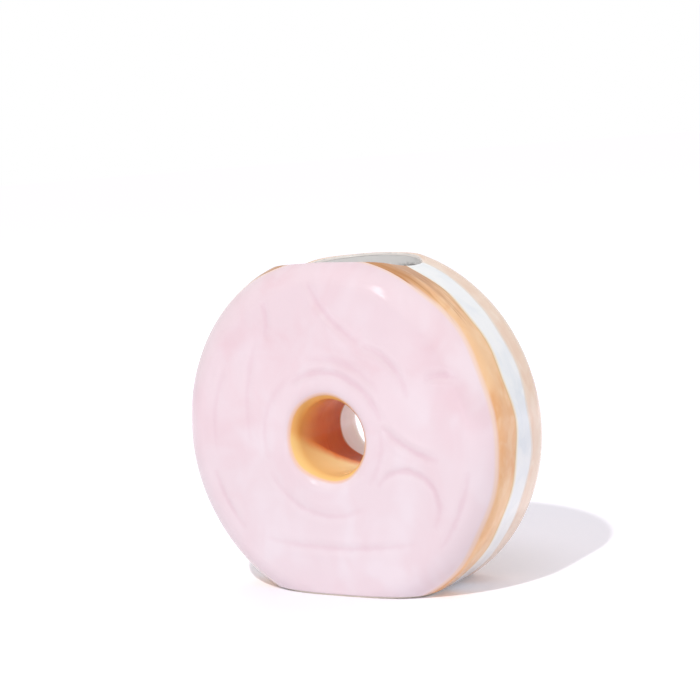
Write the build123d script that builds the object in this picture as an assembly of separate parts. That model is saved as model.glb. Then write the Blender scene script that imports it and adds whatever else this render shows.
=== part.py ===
from build123d import *
import os
from math import cos, pi, sin, sqrt

# A ring-shaped vase that stands on a flat foot. Millimetres, +Z up.
# The origin is under the middle of the ring, on the surface that the foot stands on.
# The ring's axis lies along Y, and the iced front faces -Y.

# Cast body: the ring's section
body_radius = 94.2
body_depth = 70.0
bore_radius = 20.8
face_crown = 2.4
outer_corner_radius = 15.5
front_lip_radius = 7.0
rear_lip_radius = 12.0
wall = 5.0

# Cast body: the foot, a flat cut across the bottom of the ring
foot_cut = 11.6
floor_thickness = 6.0
foot_rim_width = 8.0
foot_recess_depth = 1.5
foot_corner_radius = 6.0

# Mouth: an oval cut straight down through the top of the ring
mouth_half_width = 40.0
mouth_half_depth = 27.6
mouth_squareness_share = 1.2
mouth_points = 32

# Fired glaze coats
glaze_thickness = 0.8
liner_thickness = 0.5
foot_margin = 0.8

# Where one coat ends and the next begins, measured along the ring's axis from its middle
icing_edge = -25.3
icing_lip_edge = -33.9
front_dough_edge = -8.3
cream_edge = 8.0
hole_coat_edge = 12.5

# How far every cutting shape runs past what it cuts
overrun = 10.0

half_depth = body_depth / 2
mid_radius = (bore_radius + body_radius) / 2
centre_height = body_radius - foot_cut


def face_depth(radius):
    """How far the domed front and back faces lie from the ring's middle at a radius."""
    dome_radius = (body_radius ** 2 + face_crown ** 2) / (2 * face_crown)
    return half_depth - dome_radius + sqrt(dome_radius ** 2 - radius ** 2)


def ring_section():
    """The body's solid section, drawn with X as the radius and Y as the depth."""
    inner_front, middle_front, outer_front = [
        (radius, -face_depth(radius)) for radius in (bore_radius, mid_radius, body_radius)
    ]
    inner_rear, middle_rear, outer_rear = [
        (radius, face_depth(radius)) for radius in (bore_radius, mid_radius, body_radius)
    ]
    outline = Curve() + [
        ThreePointArc(inner_front, middle_front, outer_front),
        Line(outer_front, outer_rear),
        ThreePointArc(outer_rear, middle_rear, inner_rear),
        Line(inner_rear, inner_front),
    ]
    section = make_face(outline)
    roundings = [
        (inner_front, front_lip_radius),
        (outer_front, outer_corner_radius),
        (outer_rear, outer_corner_radius),
        (inner_rear, rear_lip_radius),
    ]
    for corner, radius in roundings:
        section = fillet(section.vertices().sort_by_distance(corner)[0], radius)
    return section


def spun(section):
    """A section turned about the ring's axis, with the ring at its height above the foot."""
    return Pos(0, 0, centre_height) * revolve(section, axis=Axis.Y)


def below(height):
    """A block that holds everything of the ring below a height."""
    side = 2 * (body_radius + overrun)
    return Pos(0, 0, height) * Box(side, side, side, align=(Align.CENTER, Align.CENTER, Align.MAX))


def mouth_prism(half_width, half_depth):
    """An upright oval prism from inside the ring's cavity to past its top."""
    power = 2 * mouth_squareness_share
    outline = []
    for index in range(mouth_points):
        turn = 2 * pi * index / mouth_points
        x_share = abs(cos(turn) / half_width)
        y_share = abs(sin(turn) / half_depth)
        reach = (x_share ** power + y_share ** power) ** (-1 / power)
        outline.append((reach * cos(turn), reach * sin(turn)))
    oval = make_face(Spline(outline, periodic=True))
    height = body_radius + overrun - mid_radius
    return Pos(0, 0, centre_height + mid_radius) * extrude(oval, height)


def hollow(inset, floor, mouth_inset):
    """The water space: the ring's cavity above a floor, joined to the mouth."""
    cavity = spun(offset(section, -inset)) - below(floor)
    return cavity + mouth_prism(mouth_half_width - mouth_inset, mouth_half_depth - mouth_inset)


def foot_recess():
    """A shallow recess that leaves a rim of the foot to stand on."""
    half_length = sqrt(body_radius ** 2 - centre_height ** 2)
    length = 2 * (half_length - foot_rim_width)
    depth = body_depth - 2 * (face_crown + foot_rim_width)
    outline = RectangleRounded(length, depth, foot_corner_radius)
    return extrude(outline, foot_recess_depth)


def band(inner, outer, start, end):
    """A rectangle of the section's plane, from one radius and depth to another."""
    return Pos((inner + outer) / 2, (start + end) / 2) * Rectangle(outer - inner, end - start)


def coat(*bands):
    """A glaze coat of even thickness over the stretches of the body that the bands hold."""
    region = bands[0]
    for extra in bands[1:]:
        region = region + extra
    skin = (offset(section, glaze_thickness) - section) & region
    return spun(skin) - below(foot_margin) - water_space


def side_of(solid, direction):
    """The half of a solid that lies to the left (-1) or right (1) of the ring's axis."""
    side = 2 * (body_radius + overrun)
    return solid & (Pos(direction * side / 2, 0, centre_height) * Box(side, side, side))


section = ring_section()
water_space = hollow(wall, floor_thickness, 0)
lined_space = hollow(wall + liner_thickness, floor_thickness + liner_thickness, liner_thickness)
solid_ring = spun(section) - below(0)

rim_reach = body_radius + overrun
hole_reach = 0
front = -half_depth - overrun
rear = half_depth + overrun

front_dough = coat(band(mid_radius, rim_reach, icing_edge, front_dough_edge))
cream = coat(band(mid_radius, rim_reach, front_dough_edge, cream_edge))

parts = {
    "ceramic_body": solid_ring - water_space - foot_recess(),
    "liner_glaze": (water_space - lined_space) & solid_ring,
    "icing_glaze": coat(
        band(mid_radius, rim_reach, front, icing_edge),
        band(hole_reach, mid_radius, front, icing_lip_edge),
    ),
    "front_dough_glaze_left": side_of(front_dough, -1),
    "front_dough_glaze_right": side_of(front_dough, 1),
    "cream_glaze_left": side_of(cream, -1),
    "cream_glaze_right": side_of(cream, 1),
    "rear_dough_glaze": coat(
        band(mid_radius, rim_reach, cream_edge, rear),
        band(hole_reach, mid_radius, hole_coat_edge, rear),
    ),
    "hole_glaze": coat(band(hole_reach, mid_radius, icing_lip_edge, hole_coat_edge)),
}

os.makedirs("parts", exist_ok=True)
for node, solid in parts.items():
    export_step(solid, f"parts/{node}.step")
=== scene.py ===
"""Dresses a ring-shaped vase: a hollow cast ring with iced front, dough and cream glaze bands."""

import logging
import math
from dataclasses import dataclass
from enum import Enum
from typing import Any, ClassVar, Optional, Sequence, Union

import bmesh
import bpy
from mathutils import Matrix, Vector

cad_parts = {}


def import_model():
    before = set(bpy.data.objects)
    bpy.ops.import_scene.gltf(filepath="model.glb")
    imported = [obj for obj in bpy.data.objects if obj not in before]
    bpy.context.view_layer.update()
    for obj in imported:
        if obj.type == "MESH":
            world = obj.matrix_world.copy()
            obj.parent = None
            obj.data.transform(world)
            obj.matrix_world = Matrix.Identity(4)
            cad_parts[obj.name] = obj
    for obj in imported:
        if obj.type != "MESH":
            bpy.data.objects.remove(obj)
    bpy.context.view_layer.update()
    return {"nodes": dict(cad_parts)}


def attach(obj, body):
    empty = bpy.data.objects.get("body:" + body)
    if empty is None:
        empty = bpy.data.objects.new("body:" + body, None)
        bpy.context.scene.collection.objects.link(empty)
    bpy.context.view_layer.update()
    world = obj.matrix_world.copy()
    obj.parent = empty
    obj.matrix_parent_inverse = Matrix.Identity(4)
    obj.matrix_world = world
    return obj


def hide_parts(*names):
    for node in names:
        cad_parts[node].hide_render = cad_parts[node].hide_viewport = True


LOG = logging.getLogger("ring_vase")
MM = 0.001

Number = Union["Flow", float, int]
Colour = tuple[float, float, float]
Size = tuple[float, float, float]
Point = tuple[float, float, float, float]
Waves = tuple[tuple[int, float, float], ...]


def paint(red: int, green: int, blue: int) -> Colour:
    """Turn a colour as a screen shows it into the linear one that a shader takes.

    Args:
        red: Red from 0 to 255.
        green: Green from 0 to 255.
        blue: Blue from 0 to 255.

    Returns:
        The linear colour, each channel from 0 to 1.
    """
    shares = (channel / 255 for channel in (red, green, blue))
    return tuple(s / 12.92 if s <= 0.04045 else ((s + 0.055) / 1.055) ** 2.4 for s in shares)


def placed(name: str, data: Any) -> bpy.types.Object:
    """Return a new object that shows the data in the scene."""
    obj = bpy.data.objects.new(name, data)
    bpy.context.scene.collection.objects.link(obj)
    return obj


def drawn(name: str, lines: Sequence[Sequence[Point]]) -> bpy.types.Object:
    """Draw lines from point to point as one curve object.

    Args:
        name: The object's name.
        lines: The points of each line: X, Y, Z and the point's radius.

    Returns:
        The object.
    """
    data = bpy.data.curves.new(name, "CURVE")
    data.dimensions = "3D"
    for line in lines:
        spline = data.splines.new("POLY")
        spline.points.add(len(line) - 1)
        for point, (x, y, z, radius) in zip(spline.points, line):
            point.co = (x, y, z, 1.0)
            point.radius = radius
    return placed(name, data)


class Flow:
    """A value that flows through a node tree and takes ordinary arithmetic."""

    def __init__(self, sketch: "NodeSketch", socket: bpy.types.NodeSocket) -> None:
        """Hold a node's output socket together with the sketch that it belongs to."""
        self.sketch = sketch
        self.socket = socket

    def __add__(self, other: Number) -> "Flow":
        """Return the sum."""
        return self.sketch.math("ADD", self, other)

    def __sub__(self, other: Number) -> "Flow":
        """Return the difference."""
        return self.sketch.math("SUBTRACT", self, other)

    def __rsub__(self, other: Number) -> "Flow":
        """Return the difference from a plain number."""
        return self.sketch.math("SUBTRACT", other, self)

    def __mul__(self, other: Number) -> "Flow":
        """Return the product."""
        return self.sketch.math("MULTIPLY", self, other)

    def __truediv__(self, other: Number) -> "Flow":
        """Return the quotient."""
        return self.sketch.math("DIVIDE", self, other)

    def __rtruediv__(self, other: Number) -> "Flow":
        """Return a plain number divided by this value."""
        return self.sketch.math("DIVIDE", other, self)

    def __pow__(self, other: Number) -> "Flow":
        """Return the power."""
        return self.sketch.math("POWER", self, other)

    __radd__ = __add__
    __rmul__ = __mul__


class NodeSketch:
    """Draws a node tree, of geometry or of a shader, from ordinary expressions."""

    def __init__(self, tree: bpy.types.NodeTree) -> None:
        """Draw into a tree."""
        self.tree = tree

    def node(self, kind: str, inputs: dict[Any, Any], **settings: Any) -> bpy.types.Node:
        """Add a node.

        Args:
            kind: The node's type.
            inputs: What each input takes, by its name or place: a Flow or a plain value.
            **settings: The node's own properties.

        Returns:
            The new node.
        """
        node = self.tree.nodes.new(kind)
        for key, value in settings.items():
            setattr(node, key, value)
        for key, value in inputs.items():
            if isinstance(value, Flow):
                self.tree.links.new(value.socket, node.inputs[key])
            else:
                node.inputs[key].default_value = value
        return node

    def flow(self, kind: str, inputs: dict[Any, Any], output: Any = 0, **settings: Any) -> Flow:
        """Add a node and return one of its outputs.

        Args:
            kind: The node's type.
            inputs: What each input takes.
            output: The name or place of the output.
            **settings: The node's own properties.

        Returns:
            The output as a Flow.
        """
        return Flow(self, self.node(kind, inputs, **settings).outputs[output])

    def math(self, operation: str, *values: Number) -> Flow:
        """Return the result of one Math node over the values."""
        return self.flow("ShaderNodeMath", dict(enumerate(values)), operation=operation)

    def ramp(self, value: Number, low: Number, high: Number, start: Number = 0.0, end: Number = 1.0,
             smooth: bool = False) -> Flow:
        """Carry a value from one range into another and stop at its ends.

        Args:
            value: The value to carry.
            low: Where the first range begins.
            high: Where the first range ends.
            start: The result at low.
            end: The result at high.
            smooth: Whether to ease in and out.

        Returns:
            The value in the second range.
        """
        shape = "SMOOTHSTEP" if smooth else "LINEAR"
        places = {0: value, 1: low, 2: high, 3: start, 4: end}
        return self.flow("ShaderNodeMapRange", places, interpolation_type=shape)

    def stepped(self, share: Flow, stops: Sequence[tuple[float, float]]) -> Flow:
        """Return a value that runs straight from stop to stop as the share grows.

        Args:
            share: The running share, from 0 to 1.
            stops: Pairs of a share and the value there.

        Returns:
            The value at the share.
        """
        total: Number = stops[0][1]
        for (low, start), (high, end) in zip(stops, stops[1:]):
            total = self.ramp(share, low, high, 0.0, end - start) + total
        return total

    def vector(self, x: Number, y: Number, z: Number) -> Flow:
        """Return a vector made of three values."""
        return self.flow("ShaderNodeCombineXYZ", {0: x, 1: y, 2: z})

    def split(self, vector: Flow) -> tuple[Flow, Flow, Flow]:
        """Return a vector's three values."""
        node = self.node("ShaderNodeSeparateXYZ", {0: vector})
        return tuple(Flow(self, socket) for socket in node.outputs)

    def times(self, vector: Flow, factors: tuple[float, float, float]) -> Flow:
        """Return a vector with each of its values multiplied."""
        return self.flow("ShaderNodeVectorMath", {0: vector, 1: factors}, operation="MULTIPLY")

    def positive(self, value: Flow) -> Flow:
        """Return a value, or 0 where it is negative."""
        return self.math("MAXIMUM", value, 0.0)

    def bell(self, distance: Flow) -> Flow:
        """Return a soft bump that is 1 at no distance and fades away on both sides."""
        return self.math("EXPONENT", distance * distance * -1.0)

    def noise(self, place: Flow, size: Size, detail: float = 2.0, warp: float = 0.0) -> Flow:
        """Lay smooth noise over a place.

        Args:
            place: The place in millimetres.
            size: About how large the noise's features are along each axis, in millimetres.
            detail: How finely they break up.
            warp: How far they are twisted.

        Returns:
            The noise, from about 0 to 1.
        """
        scaled = self.times(place, tuple(1 / length for length in size))
        inputs = {"Vector": scaled, "Scale": 1.0, "Detail": detail, "Distortion": warp}
        return self.flow("ShaderNodeTexNoise", inputs)

    def blend(self, share: Number, first: Union[Flow, Colour], second: Union[Flow, Colour]) -> Flow:
        """Return the first colour turning into the second as the share grows from 0 to 1."""
        first, second = (c if isinstance(c, Flow) else (*c, 1.0) for c in (first, second))
        return self.flow("ShaderNodeMix", {0: share, 6: first, 7: second}, 2, data_type="RGBA")


@dataclass(frozen=True)
class RingForm:
    """The glazed ring's sizes in millimetres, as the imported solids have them.

    The mouth alone is a little narrower here, so that the coats' rounded lip covers the cast edge.
    """

    ARC_STEPS: ClassVar[int] = 160
    SAME_PLACE: ClassVar[float] = 1e-6
    MOUTH_ROUNDS: ClassVar[int] = 12
    LEAST_DROP: ClassVar[float] = 0.01

    body_radius: float = 94.2
    body_depth: float = 70.0
    bore_radius: float = 20.8
    face_crown: float = 2.4
    outer_corner: float = 15.5
    front_lip: float = 7.0
    rear_lip: float = 12.0
    glaze: float = 0.8
    foot_cut: float = 11.6
    foot_margin: float = 0.8
    foot_rounding: float = 0.7
    foot_slant: float = 60.0
    mouth_half_width: float = 39.38
    mouth_half_depth: float = 26.98
    mouth_power: float = 2.4
    mouth_rounding: float = 3.0

    @property
    def centre_height(self) -> float:
        """How high the ring's middle stands above the floor."""
        return self.body_radius - self.foot_cut

    @property
    def outer_radius(self) -> float:
        """The glazed ring's radius."""
        return self.body_radius + self.glaze

    @property
    def dome_radius(self) -> float:
        """The radius of the sphere that the bare front and back faces lie on."""
        return (self.body_radius ** 2 + self.face_crown ** 2) / (2 * self.face_crown)

    @property
    def dome_centre(self) -> float:
        """How far that sphere's middle lies from the ring's middle, along its axis."""
        return self.dome_radius - self.body_depth / 2

    @property
    def corner_round(self) -> float:
        """The radius of the glazed outer corner's arc."""
        return self.outer_corner + self.glaze

    def arc_middle(self, radius: float, bare_round: float) -> tuple[float, float]:
        """Find the middle of an arc that runs smoothly into the domed face.

        Args:
            radius: The arc middle's distance from the ring's axis.
            bare_round: The arc's radius before it is glazed.

        Returns:
            The middle as its radius and its distance along the axis, both positive.
        """
        reach = self.dome_radius - bare_round
        return radius, math.sqrt(reach ** 2 - radius ** 2) - self.dome_centre

    @property
    def corner_middle(self) -> tuple[float, float]:
        """The middle of the outer corner's arc."""
        return self.arc_middle(self.body_radius - self.outer_corner, self.outer_corner)

    @property
    def front_lip_middle(self) -> tuple[float, float]:
        """The middle of the arc at the front of the hole."""
        return self.arc_middle(self.bore_radius + self.front_lip, self.front_lip)

    @property
    def rear_lip_middle(self) -> tuple[float, float]:
        """The middle of the arc at the rear of the hole."""
        return self.arc_middle(self.bore_radius + self.rear_lip, self.rear_lip)

    def face_turn(self, middle: tuple[float, float]) -> float:
        """Return the angle, from the radius towards the axis, at which an arc meets its domed face."""
        return math.atan2(middle[1] + self.dome_centre, middle[0])

    def lengths(self) -> dict[str, float]:
        """Measure the runs of the section's outline, from the rim's middle backwards and through the hole.

        Returns:
            The length of each run in millimetres, in order.
        """
        corner, front, rear = self.corner_middle, self.front_lip_middle, self.rear_lip_middle
        dome = self.dome_radius + self.glaze
        corner_run = self.corner_round * self.face_turn(corner)
        return {
            "rear_rim": corner[1],
            "rear_corner": corner_run,
            "rear_face": dome * (self.face_turn(rear) - self.face_turn(corner)),
            "rear_lip": (self.rear_lip + self.glaze) * (math.pi - self.face_turn(rear)),
            "hole": rear[1] + front[1],
            "front_lip": (self.front_lip + self.glaze) * (math.pi - self.face_turn(front)),
            "front_face": dome * (self.face_turn(front) - self.face_turn(corner)),
            "front_corner": corner_run,
            "front_rim": corner[1],
        }

    def along(self, run: str) -> float:
        """Return how far the start of a run lies along the section's outline."""
        names = list(self.lengths())
        return sum(list(self.lengths().values())[:names.index(run)])

    def outline(self) -> list[tuple[float, float]]:
        """List the points of the glazed section's outline.

        Returns:
            Pairs of a radius and a distance along the axis, once round.
        """
        corner, front, rear = self.corner_middle, self.front_lip_middle, self.rear_lip_middle
        dome = self.dome_radius + self.glaze
        half_turn = math.pi
        arcs = [
            (corner, self.corner_round, 0.0, self.face_turn(corner)),
            ((0.0, -self.dome_centre), dome, self.face_turn(corner), self.face_turn(rear)),
            (rear, self.rear_lip + self.glaze, self.face_turn(rear), half_turn),
            ((front[0], -front[1]), self.front_lip + self.glaze, half_turn,
             2 * half_turn - self.face_turn(front)),
            ((0.0, self.dome_centre), dome, -self.face_turn(front), -self.face_turn(corner)),
            ((corner[0], -corner[1]), self.corner_round, -self.face_turn(corner), 0.0),
        ]
        points = [(self.outer_radius, 0.0)]
        for middle, radius, start, end in arcs:
            for step in range(self.ARC_STEPS + 1):
                turn = start + (end - start) * step / self.ARC_STEPS
                point = (middle[0] + radius * math.cos(turn), middle[1] + radius * math.sin(turn))
                if math.dist(point, points[-1]) > self.SAME_PLACE:
                    points.append(point)
        return points + [(self.outer_radius, 0.0)]

    def rim_radius(self, depth: float) -> float:
        """Return the glazed rim's radius at a distance from the ring's middle."""
        past = max(depth - self.corner_middle[1], 0.0)
        return self.corner_middle[0] + math.sqrt(self.corner_round ** 2 - past ** 2)

    def rim_path(self, depth: float) -> float:
        """Return how far along the outline, from the rim's middle, a distance along the axis is reached."""
        past = max(depth - self.corner_middle[1], 0.0)
        return min(depth, self.corner_middle[1]) + self.corner_round * math.asin(past / self.corner_round)

    def mouth_path(self, turn: float) -> float:
        """Return how far along the outline the mouth's edge lies at an angle from the top."""
        radius, depth = self.outer_radius, 0.0
        for _ in range(self.MOUTH_ROUNDS):
            across = min(radius * abs(math.sin(turn)) / self.mouth_half_width, 1.0)
            depth = self.mouth_half_depth * (1 - across ** self.mouth_power) ** (1 / self.mouth_power)
            radius = self.rim_radius(depth)
        return self.rim_path(depth)

    def foot_path(self, turn: float) -> float:
        """Return how far along the outline the foot's edge lies at an angle from the top."""
        radius = (self.centre_height - self.foot_margin) / max(-math.cos(turn), self.LEAST_DROP)
        if radius >= self.outer_radius:
            return max(self.corner_middle[1] - self.foot_slant * (radius - self.outer_radius), 0.0)
        past = math.sqrt(self.corner_round ** 2 - (radius - self.corner_middle[0]) ** 2)
        return self.rim_path(self.corner_middle[1] + past)


@dataclass(frozen=True)
class Border:
    """A hand-painted border between two coats.

    Attributes:
        base: Where it lies along the section's outline, in millimetres from the rim's middle.
        waves: How it wanders round the ring: each wave's count a turn, height and phase.
    """

    base: float
    waves: Waves

    def at(self, turn: float) -> float:
        """Return where the border lies at an angle from the top."""
        return self.base + sum(h * math.sin(count * turn + phase) for count, h, phase in self.waves)


class GeometrySketch(NodeSketch):
    """A geometry tree that lays a glaze coat over the ring."""

    CLEARANCE = 0.02
    UNEVENNESS = 0.28
    HOLLOW_SIZE = (38.0, 38.0, 38.0)
    HOLLOW_RANGE = (0.25, 0.75)
    ROUNDS = 4
    TOP_SHARE = 0.6
    FAR_AWAY = 1000.0
    LEAST_SLOPE = 1e-5
    MERGE_DISTANCE = 2e-6

    def __init__(self, name: str, form: RingForm) -> None:
        """Start a tree with its output and the sizes that every coat needs.

        Args:
            name: The tree's name.
            form: The ring that is coated.
        """
        super().__init__(bpy.data.node_groups.new(name, "GeometryNodeTree"))
        self.form = form
        self.tree.interface.new_socket("Geometry", in_out="OUTPUT", socket_type="NodeSocketGeometry")
        self.entry = self.tree.nodes.new("NodeGroupInput")
        self.columns = self.input("Columns", "NodeSocketInt")
        self.rows = self.input("Rows", "NodeSocketInt")
        self.path = self.geometry_of(self.input("Outline", "NodeSocketObject"))
        self.material = self.input("Finish", "NodeSocketMaterial")
        self.path_length = self.size("Outline length", sum(form.lengths().values()))
        self.height = self.size("Centre height", form.centre_height)
        self.half_width = self.size("Mouth half width", form.mouth_half_width)
        self.half_depth = self.size("Mouth half depth", form.mouth_half_depth)
        self.power = self.size("Mouth power", form.mouth_power)
        self.rounding = self.size("Mouth rounding", form.mouth_rounding)
        self.foot_margin = self.size("Foot margin", form.foot_margin)
        self.foot_rounding = self.size("Foot rounding", form.foot_rounding)
        self.foot_slant = self.size("Foot slant", form.foot_slant)
        self.unevenness = self.size("Unevenness", self.UNEVENNESS)
        self.corner_round = self.size("Corner radius", form.corner_round)
        self.corner_radius = self.size("Corner middle radius", form.corner_middle[0])
        self.corner_depth = self.size("Corner middle depth", form.corner_middle[1])
        self.marks: dict[str, Flow] = {}

    def input(self, name: str, kind: str, start: Any = None) -> Flow:
        """Add a named input to the tree.

        Args:
            name: The input's name.
            kind: Its socket type.
            start: Its value until a modifier sets it.

        Returns:
            The input as a Flow.
        """
        socket = self.tree.interface.new_socket(name, in_out="INPUT", socket_type=kind)
        if start is not None:
            socket.default_value = start
        return Flow(self, next(s for s in self.entry.outputs if s.identifier == socket.identifier))

    def size(self, name: str, start: float) -> Flow:
        """Add a named size, in millimetres, to the tree's inputs."""
        return self.input(name, "NodeSocketFloat", start)

    def geometry_of(self, source: Flow) -> Flow:
        """Return the geometry of an object that an input names."""
        return self.flow("GeometryNodeObjectInfo", {"Object": source}, "Geometry", transform_space="ORIGINAL")

    def grid(self) -> tuple[Flow, Flow, Flow]:
        """Lay a flat grid of the coat's columns and rows.

        Returns:
            The grid, and each point's share of the columns and of the rows.
        """
        sizes = {"Size X": 1.0, "Size Y": 1.0, "Vertices X": self.columns, "Vertices Y": self.rows}
        mesh = self.flow("GeometryNodeMeshGrid", sizes)
        x, y, _ = self.split(self.flow("GeometryNodeInputPosition", {}))
        return mesh, x + 0.5, y + 0.5

    def border(self, border: Border, turn: Flow) -> Flow:
        """Return where a border lies along the outline at an angle from the top."""
        total: Number = border.base
        for count, height, phase in border.waves:
            total = self.math("SINE", turn * float(count) + phase) * height + total
        return total

    def store(self, geometry: Flow, name: str, value: Flow) -> Flow:
        """Return the geometry with a value kept on its points under a name."""
        items = {"Geometry": geometry, "Name": name, "Value": value}
        return self.flow("GeometryNodeStoreNamedAttribute", items, data_type="FLOAT", domain="POINT")

    def arc(self, radius: Flow, past: Flow) -> Flow:
        """Return an arc's height at a distance from its middle."""
        return self.math("SQRT", radius * radius - past * past)

    def past_corner(self, depth: Flow) -> Flow:
        """Return how far a distance along the axis lies past the outer corner's middle."""
        return self.positive(depth - self.corner_depth)

    def rim_radius(self, depth: Flow) -> Flow:
        """Return the rim's radius at a distance along the axis."""
        return self.arc(self.corner_round, self.past_corner(depth)) + self.corner_radius

    def rim_path(self, depth: Flow) -> Flow:
        """Return how far along the outline a distance along the axis is reached."""
        turn = self.math("ARCSINE", self.past_corner(depth) / self.corner_round)
        return self.math("MINIMUM", depth, self.corner_depth) + turn * self.corner_round

    def mouth_share(self, share: Flow) -> Flow:
        """Return the other half-axis share of the mouth's oval at a share of one half-axis."""
        inside = 1.0 - self.math("MINIMUM", share, 1.0) ** self.power
        return self.positive(inside) ** (1.0 / self.power)

    def mouth_path(self, turn: Flow) -> Flow:
        """Return how far along the outline the mouth's edge lies, and 0 on the ring's lower half."""
        across = self.math("ABSOLUTE", self.math("SINE", turn)) / self.half_width
        radius: Number = self.corner_round + self.corner_radius
        for _ in range(self.ROUNDS):
            depth = self.mouth_share(across * radius) * self.half_depth
            radius = self.rim_radius(depth)
        upper = self.math("GREATER_THAN", self.math("COSINE", turn), 0.0)
        return self.rim_path(depth) * upper

    def foot_path(self, turn: Flow) -> Flow:
        """Return how far along the outline the foot's edge lies, and 0 where the ring stays above it."""
        down = self.math("MAXIMUM", self.math("COSINE", turn) * -1.0, self.form.LEAST_DROP)
        radius = (self.height - self.foot_margin) / down
        past = self.math("MINIMUM", radius - self.corner_radius, self.corner_round)
        depth = self.arc(self.corner_round, past) + self.corner_depth
        over = self.positive(radius - self.corner_radius - self.corner_round)
        return self.positive(self.rim_path(depth) - over * self.foot_slant)

    def mouth_distance(self, x: Flow, y: Flow, height: Flow) -> Flow:
        """Measure in plan how far a point lies outside the mouth's oval.

        Args:
            x: The point's place across the ring.
            y: The point's place along the ring's axis.
            height: The point's height above the ring's middle.

        Returns:
            The distance in millimetres, and a large one away from the ring's top.
        """
        across = self.math("ABSOLUTE", x / self.half_width)
        deep = self.math("ABSOLUTE", y / self.half_depth)
        total = across ** self.power + deep ** self.power
        slope_x = across ** (self.power - 1.0) / self.half_width
        slope_y = deep ** (self.power - 1.0) / self.half_depth
        slope = self.math("SQRT", slope_x * slope_x + slope_y * slope_y)
        reach = total ** (1.0 / self.power)
        distance = (reach - 1.0) * total / (self.math("MAXIMUM", slope, self.LEAST_SLOPE) * reach)
        low = self.math("LESS_THAN", height, self.corner_radius * self.TOP_SHARE) * self.FAR_AWAY
        return self.positive(distance) + low

    def lay(self, mesh: Flow, turn: Flow, length: Flow, relief: Optional["IcingStrokes"] = None) -> None:
        """Put the grid on the ring, round the mouth's lip and the foot's edge, and end the tree.

        Args:
            mesh: The flat grid.
            turn: Each point's angle from the top.
            length: Each point's place along the outline.
            relief: Strokes to press into the coat.
        """
        places = {"Curves": self.path, "Length": length}
        sample = self.node("GeometryNodeSampleCurve", places, mode="LENGTH")
        radius, depth, _ = self.split(Flow(self, sample.outputs["Position"]))
        along, inward, _ = self.split(Flow(self, sample.outputs["Tangent"]))
        sine, cosine = self.math("SINE", turn), self.math("COSINE", turn)
        x, rise = radius * sine, radius * cosine
        distance = self.mouth_distance(x, depth, rise)
        drop = self.rounding - self.arc(self.rounding, self.positive(self.rounding - distance))
        above = self.positive(rise + self.height - self.foot_margin)
        low = self.positive(self.foot_rounding - above)
        squeeze = self.foot_rounding - self.arc(self.foot_rounding, low)
        hollows = self.noise(self.vector(x, depth, rise), self.HOLLOW_SIZE, 1.0)
        height = self.ramp(hollows, *self.HOLLOW_RANGE, 0.0, -1.0) * self.unevenness - squeeze
        if relief is not None:
            height = height - relief.press(self, x, rise)
        height = self.math("MINIMUM", height, -self.CLEARANCE)
        outward_x, outward_y, outward_z = inward * sine, along * -1.0, inward * cosine
        place = self.vector(
            (x + height * outward_x) * MM,
            (depth + height * outward_y) * MM,
            (rise + height * outward_z + self.height - drop) * MM,
        )
        self.marks["lip"] = distance
        for name, value in self.marks.items():
            mesh = self.store(mesh, name, value)
        mesh = self.flow("GeometryNodeSetPosition", {"Geometry": mesh, "Position": place})
        mesh = self.flow("GeometryNodeMergeByDistance", {"Geometry": mesh, "Distance": self.MERGE_DISTANCE})
        flip = self.input("Flip", "NodeSocketBool")
        mesh = self.flow("GeometryNodeFlipFaces", {"Mesh": mesh, "Selection": flip})
        mesh = self.flow("GeometryNodeSetShadeSmooth", {"Geometry": mesh})
        mesh = self.flow("GeometryNodeRealizeInstances", {"Geometry": mesh})
        mesh = self.flow("GeometryNodeSetMaterial", {"Geometry": mesh, "Material": self.material})
        ending = self.tree.nodes.new("NodeGroupOutput")
        self.tree.links.new(mesh.socket, ending.inputs[0])


class Face(Enum):
    """The ring's two faces, by the sign of the Y axis that each lies on."""

    FRONT = -1.0
    REAR = 1.0


class Hand(Enum):
    """The ring's two halves, by the sign of the X axis that each lies on."""

    LEFT = -1.0
    RIGHT = 1.0


@dataclass(frozen=True)
class Stroke:
    """One arc that the brush left in the icing, seen from the front.

    Attributes:
        strength: How deep it presses, as a share of a plain stroke.
        middle: The arc's middle across and above the ring's middle, in millimetres.
        radius: The arc's radius in millimetres.
        start: Where it starts, in degrees from the right, turning upwards.
        end: Where it ends, in degrees.
    """

    strength: float
    middle: tuple[float, float]
    radius: float
    start: float
    end: float

    def place(self, share: float) -> tuple[float, float]:
        """Return the point at a share of the way along the arc."""
        turn = math.radians(self.start + (self.end - self.start) * share)
        return self.middle[0] + self.radius * math.cos(turn), self.middle[1] + self.radius * math.sin(turn)


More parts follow.
